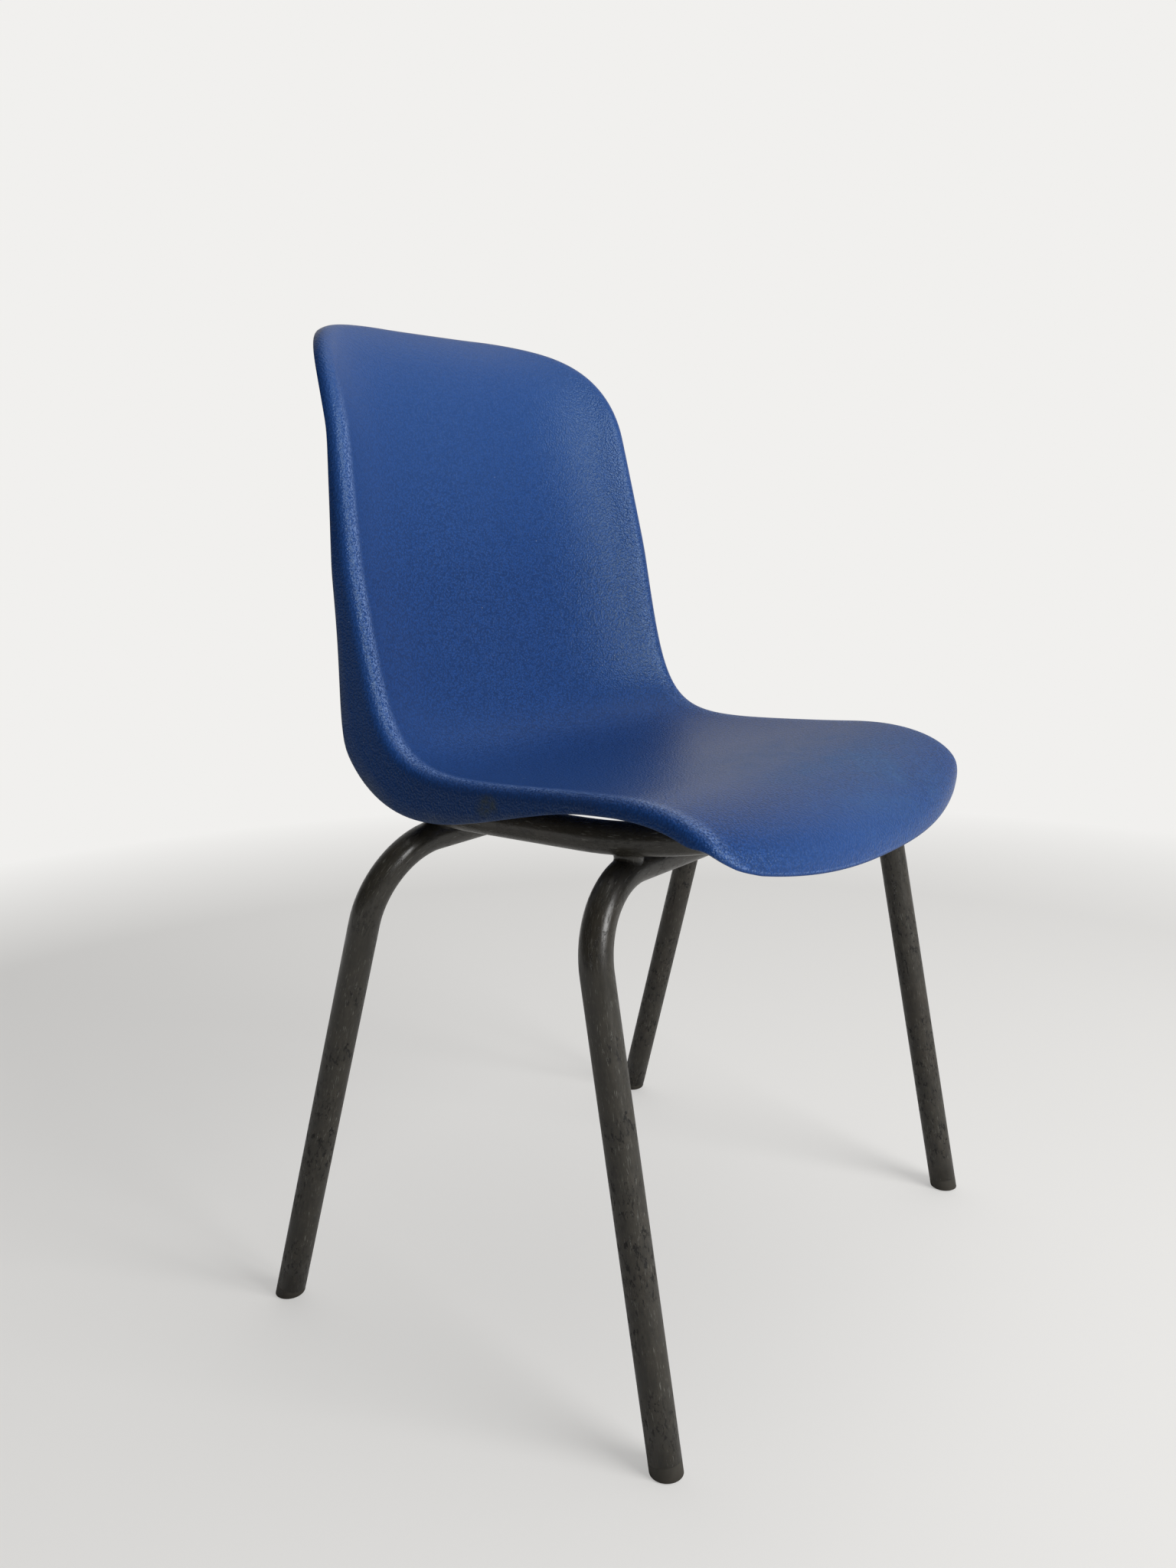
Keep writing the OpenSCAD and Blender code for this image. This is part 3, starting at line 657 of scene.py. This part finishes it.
def addBoss(mesh, x, y, foot, top):
    # a round boss, flared where it leaves the seat's underside
    body, flare, height = boss["radius"], boss["flare"], top - foot
    bevelIn, bevelUp = boss["bevel"]
    made = bmesh.ops.create_circle(mesh, cap_ends=True, radius=body - bevelIn, segments=boss["segments"],
                                   matrix=Matrix.Translation((x, y, foot)))
    ringEdges = list({e for v in made["verts"] for e in v.link_edges if e.is_boundary})
    profile = [(bevelUp, body), (boss["holdLoop"], body)]
    for angle in (pi / 2 * i / 5 for i in range(6)):
        lift = height - boss["sunk"] - flare * (1 - sin(angle))
        profile.append((lift, body + flare * (1 - cos(angle))))
    profile.append((height, body + flare))
    for lift, radius in profile:
        grown = bmesh.ops.extrude_edge_only(mesh, edges=ringEdges)["geom"]
        ringEdges = [g for g in grown if isinstance(g, bmesh.types.BMEdge) and g.is_boundary]
        for vert in [g for g in grown if isinstance(g, bmesh.types.BMVert)]:
            away = Vector((vert.co.x - x, vert.co.y - y)).normalized() * radius
            vert.co = (x + away.x, y + away.y, foot + lift)
    bmesh.ops.contextual_create(mesh, geom=ringEdges)


hoops = {
    "bendR": 59, "wall": 1.5,
    "front": {"foot": (221, -171.6), "tilt": -10, "spread": 1.9},
    "rear": {"foot": (231, 177.4), "tilt": 16.5, "spread": 2.6},
    "collar": 9,  # height of the foot plug's collar, below the tube's end
    "weldGap": 0.25,
    "sides": 40,  # points round a tube
}
crossingSearch = range(-40, 61)  # mm before the hoop's bend, then degrees round it


def ringLevel(p):
    # how far a point lies from the ring's tube axis
    x = abs(p[0]) - (ring["halfWidth"] - ring["corner"])
    y = max(p[1] - (ring["rearY"] - ring["corner"]), ring["frontY"] + ring["corner"] - p[1])
    level = hypot(max(x, 0), max(y, 0)) + min(max(x, y), 0) - ring["corner"]
    return hypot(level, p[2] - ring["axisZ"])


class Hoop:
    # a cross tube with a bend and a leg at each end, all in one tilted plane
    def __init__(self, values):
        self.footX, self.footY = values["foot"]
        self.tilt = radians(values["tilt"])
        self.spread = atan(tan(radians(values["spread"])) * cos(self.tilt))
        self.height = ring["axisZ"] - ring["tube"]
        for _ in range(4):  # the cross tube rises until the ring sits on it
            nearest = min(ringLevel(self.point(a)) for a in crossingSearch)
            self.height += nearest - ring["tube"] - hoops["weldGap"]

    @property
    def y(self):
        return self.footY - self.height * tan(self.tilt)

    @property
    def flat(self):
        half = self.footX - tan(self.spread) * self.height / cos(self.tilt)
        return half - hoops["bendR"] * tan((pi / 2 - self.spread) / 2)

    def point(self, a):
        # on the axis: a < 0 is a place before the bend, else degrees round it
        r = hoops["bendR"]
        down = r * (1 - cos(radians(max(0, a))))
        x = self.flat + (a if a < 0 else r * sin(radians(a)))
        return Vector((x, self.y + down * sin(self.tilt), self.height - down * cos(self.tilt)))

    def legLength(self):
        r = hoops["bendR"]
        return (self.height / cos(self.tilt) - r * (1 - sin(self.spread))) / cos(self.spread)

    def placed(self):
        return Matrix.Translation((0, self.y, self.height)) @ Matrix.Rotation(self.tilt, 4, "X")

    def crossing(self):
        return self.point(min(crossingSearch, key=lambda a: ringLevel(self.point(a))))


frontHoop, rearHoop = Hoop(hoops["front"]), Hoop(hoops["rear"])


class TubeRun:
    # a circle of edges that is carried along its path, straight or round a bend
    def __init__(self, start, heading):
        self.mesh = bmesh.new()
        self.space = self.mesh.verts.layers.float_vector.new("tubeSpace")
        self.travelled = 0
        turn = Vector(heading).to_track_quat("Z", "Y").to_matrix().to_4x4()
        made = bmesh.ops.create_circle(self.mesh, radius=ring["tube"] / 2, segments=hoops["sides"],
                                       matrix=Matrix.Translation(start) @ turn)
        self.verts = made["verts"]
        self.edges = list(self.mesh.edges)
        for i, vert in enumerate(self.verts):
            angle = 2 * pi * i / len(self.verts)
            vert[self.space] = Vector((cos(angle), sin(angle), 0)) * ring["tube"] / 2 * mm

    def step(self, length):
        grown = bmesh.ops.extrude_edge_only(self.mesh, edges=self.edges)["geom"]
        new = [g for g in grown if isinstance(g, bmesh.types.BMVert)]
        old = set(self.verts)
        self.travelled += length
        for vert in new:
            source = next(e.other_vert(vert) for e in vert.link_edges if e.other_vert(vert) in old)
            vert[self.space] = Vector((*source[self.space].xy, self.travelled * mm))
        self.verts = new
        self.edges = [g for g in grown if isinstance(g, bmesh.types.BMEdge) and g.is_boundary]

    def straight(self, move, pieces):
        for _ in range(pieces):
            self.step(Vector(move).length / pieces)
            bmesh.ops.translate(self.mesh, verts=self.verts, vec=Vector(move) / pieces)

    def bend(self, centre, axis, angle, radius, pieces=18):
        turn = Matrix.Rotation(angle / pieces, 3, Vector(axis))
        for _ in range(pieces):
            self.step(radius * abs(angle) / pieces)
            bmesh.ops.rotate(self.mesh, verts=self.verts, cent=centre, matrix=turn)


def giveWall(mesh):
    # the bore: a smaller copy of the skin, turned inside out and joined at both ends
    mesh.normal_update()
    shifts = {v: v.normal * hoops["wall"] for v in mesh.verts}
    copied = bmesh.ops.duplicate(mesh, geom=list(mesh.verts) + list(mesh.edges) + list(mesh.faces))
    for vert, shift in shifts.items():
        copied["vert_map"][vert].co = vert.co - shift
    inner = [g for g in copied["geom"] if isinstance(g, bmesh.types.BMFace)]
    bmesh.ops.reverse_faces(mesh, faces=inner)
    ends = [e for e in mesh.edges if e.is_boundary]
    for side in (-1, 1):
        bmesh.ops.bridge_loops(mesh, edges=[e for e in ends if e.verts[0].co.x * side > 0])


def makeRing():
    corner = ring["corner"]
    flat = ring["halfWidth"] - corner
    near, far = ring["frontY"] + corner, ring["rearY"] - corner
    z = ring["axisZ"]
    run = TubeRun((0, ring["frontY"], z), (1, 0, 0))
    run.straight((flat, 0, 0), pieces=4)
    run.bend((flat, near, z), (0, 0, 1), pi / 2, corner)
    run.straight((0, far - near, 0), pieces=6)
    run.bend((flat, far, z), (0, 0, 1), pi / 2, corner)
    run.straight((-2 * flat, 0, 0), pieces=8)
    run.bend((-flat, far, z), (0, 0, 1), pi / 2, corner)
    run.straight((0, near - far, 0), pieces=6)
    run.bend((-flat, near, z), (0, 0, 1), pi / 2, corner)
    run.straight((flat, 0, 0), pieces=4)
    mesh = run.mesh  # closed, so it has no bore
    bmesh.ops.remove_doubles(mesh, verts=mesh.verts, dist=0.01)
    bmesh.ops.recalc_face_normals(mesh, faces=mesh.faces)
    keepPiece("seatRing", mesh, finishes["tube"], ["seat_ring"])


def makeHoop(name, hoop, node):
    r = hoops["bendR"]
    low = -r * (1 - sin(hoop.spread))
    sideways = hoop.flat + r * cos(hoop.spread)
    down = Vector((sin(hoop.spread), 0, -cos(hoop.spread)))
    length = hoop.legLength() - hoops["collar"]
    foot = Vector((sideways, 0, low)) + down * length
    start = Vector((-foot.x, 0, foot.z))
    upwards = Vector((down.x, 0, -down.z))
    run = TubeRun(start, upwards)
    run.straight(upwards * length, pieces=10)
    run.bend((-hoop.flat, 0, -r), (0, 1, 0), pi / 2 - hoop.spread, r, pieces=20)
    run.straight((2 * hoop.flat, 0, 0), pieces=10)
    run.bend((hoop.flat, 0, -r), (0, 1, 0), pi / 2 - hoop.spread, r, pieces=20)
    run.straight(down * length, pieces=10)
    mesh = run.mesh
    bmesh.ops.recalc_face_normals(mesh, faces=mesh.faces)
    giveWall(mesh)
    mesh.transform(hoop.placed())
    keepPiece(name, mesh, finishes["tube"], [node])


web = {
    "radius": 9.5, "flare": 2.6, "bite": 0.6, "rows": 14, "sides": 48,
    "tries": 80, "stride": 0.8, "near": 0.02,  # of the walk to a tube's skin
    "leastRadius": 1, "shrink": 0.2,
}


def hoopLevel(hoop, p):
    # how far a point lies from the axis of a hoop's cross tube, bend or leg
    local = hoop.placed().inverted() @ Vector(p)
    x, r = abs(local.x), hoops["bendR"]
    if x < hoop.flat:
        return hypot(local.y, local.z)
    angle = atan((x - hoop.flat) / max(1e-6, local.z + r)) if local.z > -r else pi / 2
    if angle < pi / 2 - hoop.spread:
        return hypot(hypot(x - hoop.flat, local.z + r) - r, local.y)
    foot = Vector((hoop.flat + r * cos(hoop.spread), -r * (1 - sin(hoop.spread))))
    down = Vector((sin(hoop.spread), -cos(hoop.spread)))
    off = Vector((x, local.z)) - foot
    return hypot(off.cross(down), local.y)


def surfaceAt(level, start, direction, wanted):
    # from a place between two tubes to one tube's skin, or nothing where the way misses the tube
    p = Vector(start)
    for _ in range(web["tries"]):
        gap = level(p) - wanted
        if abs(gap) < web["near"]:
            return p
        p += direction * gap * web["stride"]
    return None


def flaredEnd(level, middle, out, direction, share):
    # the web widens towards a tube, as far as that tube's skin lets it
    skin = ring["tube"] / 2 - web["bite"]
    radius = web["radius"] + web["flare"] * abs(2 * share - 1) ** 3
    while radius > web["leastRadius"]:
        found = surfaceAt(level, middle + out * radius, direction, skin)
        if found:
            return found
        radius -= web["shrink"]
    return middle


def makeWeb(name, hoop, side, node):
    at = hoop.crossing()
    middle = Vector((at.x * side, at.y, (at.z + ring["axisZ"]) / 2))
    up = Vector((0, 0, 1))
    mesh = bmesh.new()
    bmesh.ops.create_cone(mesh, cap_ends=False, segments=web["sides"], radius1=1, radius2=1, depth=1)
    upright = [e for e in mesh.edges if abs(e.verts[0].co.z - e.verts[1].co.z) > 0.5]
    bmesh.ops.subdivide_edges(mesh, edges=upright, cuts=web["rows"] - 1)
    for vert in list(mesh.verts):
        share = vert.co.z + 0.5
        out = Vector((vert.co.x, vert.co.y, 0)).normalized()
        top = flaredEnd(ringLevel, middle, out, up, max(share, 0.5))
        bottom = flaredEnd(lambda p: hoopLevel(hoop, p), middle, out, -up, min(share, 0.5))
        vert.co = bottom.lerp(top, share)
    bmesh.ops.holes_fill(mesh, edges=[e for e in mesh.edges if e.is_boundary], sides=0)
    bmesh.ops.recalc_face_normals(mesh, faces=mesh.faces)
    keepPiece(name, mesh, finishes["weld"], [node])


# the screws' places across the chair, their reach from the cross tubes, and the lugs' thickness
fixing = {"x": 95, "reach": 18, "lug": 3}
screwPlaces = []
for hoop, inward in ((frontHoop, 1), (rearHoop, -1)):
    top = hoop.height + ring["tube"] / 2 + hoops["weldGap"] + fixing["lug"]
    for side in (-1, 1):
        screwPlaces.append((side * fixing["x"], hoop.y + inward * fixing["reach"], top))

makeShell(screwPlaces)
print("shell made")
makeRing()
makeHoop("frontLegHoop", frontHoop, "front_leg_hoop")
makeHoop("rearLegHoop", rearHoop, "rear_leg_hoop")
print("tubes made")
for end, hoop in (("front", frontHoop), ("rear", rearHoop)):
    for hand, side in (("left", 1), ("right", -1)):
        makeWeb(f"web_{end}_{hand}", hoop, side, f"ring_weld_{end}_{hand}")
print("weld webs made")


def nodeFinish(node):
    if node == "seat_shell":
        return finishes["shell"]
    if node == "shell_screws":
        return finishes["screw"]
    if node.startswith("foot"):
        return finishes["foot"]
    return finishes["weld" if node.startswith(("lug", "ring_weld")) else "tube"]


for node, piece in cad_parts.items():
    piece.data.materials.clear()
    piece.data.materials.append(nodeFinish(node))
print("CAD nodes finished")


studio = {
    "floor": (0.82, 0.81, 0.79), "floorCloud": (0.5, 0.5, 0.48),
    "floorRadius": 9000,  # in mm like the chair, the studio's other lengths are in metres
    "floorEdge": (0.6, 1.7),  # metres over which the floor passes into the backdrop
    "floorLift": 0.45,  # least share of the backdrop that the camera sees on the floor
    "back": (0.879, 0.871, 0.855), "wallLight": (1.0, 0.99, 0.975),
    "wallSide": (0.776, 0.6, 0.15), "dimSky": 0.06, "litSky": 0.72, "skySpread": (0.6, 0.95),
    "aim": (0, 0, 0.45),  # what both lamps point at
    "window": {"place": (0.05, -2.35, 1.4), "size": (1.6, 0.9), "power": 59},
    "ceiling": {"place": (0.5, -0.4, 2.4), "size": (2, 2), "power": 14},
}


def makeFloor(values):
    mesh = bmesh.new()
    bmesh.ops.create_circle(mesh, cap_ends=True, radius=values["floorRadius"], segments=96)
    mesh.transform(Matrix.Diagonal((mm, mm, mm, 1)))
    data = bpy.data.meshes.new("floor")
    mesh.to_mesh(data)
    mesh.free()
    floor = bpy.data.objects.new("floor", data)
    scene.collection.objects.link(floor)
    f = newFinish("paleFloor")
    space = f.objectSpace()
    near, end = values["floorEdge"]
    fade = f.ramp((f.length(space) - near) / (end - near), (0, 0), (1, 1))
    tone = f.blend(f.clamped(0.05 * f.noise(space, 3, 3)), values["floor"], values["floorCloud"])
    skin = f.node("ShaderNodeBsdfPrincipled", {}, {"Base Color": tone, "Roughness": 0.75})
    sky = f.node("ShaderNodeEmission", {}, {"Color": (*values["back"], 1), "Strength": 1.0})
    seen = f.node("ShaderNodeLightPath", out="Is Camera Ray") * values["floorLift"]
    shown = f.node("ShaderNodeMixShader", {}, {0: f.maths("MAXIMUM", fade, seen), 1: skin, 2: sky})
    f.node("ShaderNodeOutputMaterial", {}, {"Surface": shown})
    data.materials.append(f.owner)


def makeWorld(values):
    # the backdrop is one plain tone to the camera; its light is stronger on the wall's side
    world = bpy.data.worlds.new("studio")
    scene.world = world
    f = Finish(world)
    camera, glossy, clear = (f.node("ShaderNodeLightPath", out=f"Is {kind} Ray")
                             for kind in ("Camera", "Glossy", "Transmission"))
    way = f.node("ShaderNodeTexCoord", out="Generated")
    facing = f.node("ShaderNodeVectorMath", {"operation": "DOT_PRODUCT"},
                    {0: way, 1: Vector(values["wallSide"]).normalized()}, out="Value")
    start, end = values["skySpread"]
    level = f.ramp(0.5 + 0.5 * facing, (start, values["dimSky"]), (end, values["litSky"]))
    light = f.node("ShaderNodeBackground", {}, {"Color": (*values["wallLight"], 1), "Strength": level})
    seen = f.maths("MAXIMUM", f.clamped(camera + clear), level)
    shown = f.node("ShaderNodeBackground", {}, {"Color": (*values["back"], 1), "Strength": seen})
    both = f.node("ShaderNodeMixShader", {}, {0: f.clamped(camera + glossy + clear), 1: light, 2: shown})
    f.node("ShaderNodeOutputWorld", {}, {"Surface": both})


def makeLamp(name, aim, place, size, power):
    data = bpy.data.lights.new(name, "AREA")
    data.shape, data.energy = "ELLIPSE", power
    data.size, data.size_y = size
    lamp = bpy.data.objects.new(name, data)
    lamp.location = place
    lamp.rotation_mode = "QUATERNION"
    lamp.rotation_quaternion = (Vector(aim) - Vector(place)).to_track_quat("-Z", "Y")
    scene.collection.objects.link(lamp)


makeFloor(studio)
makeWorld(studio)
for lampName in ("window", "ceiling"):
    makeLamp(lampName, studio["aim"], **studio[lampName])
scene.view_settings.view_transform = "Standard"
print("studio made")
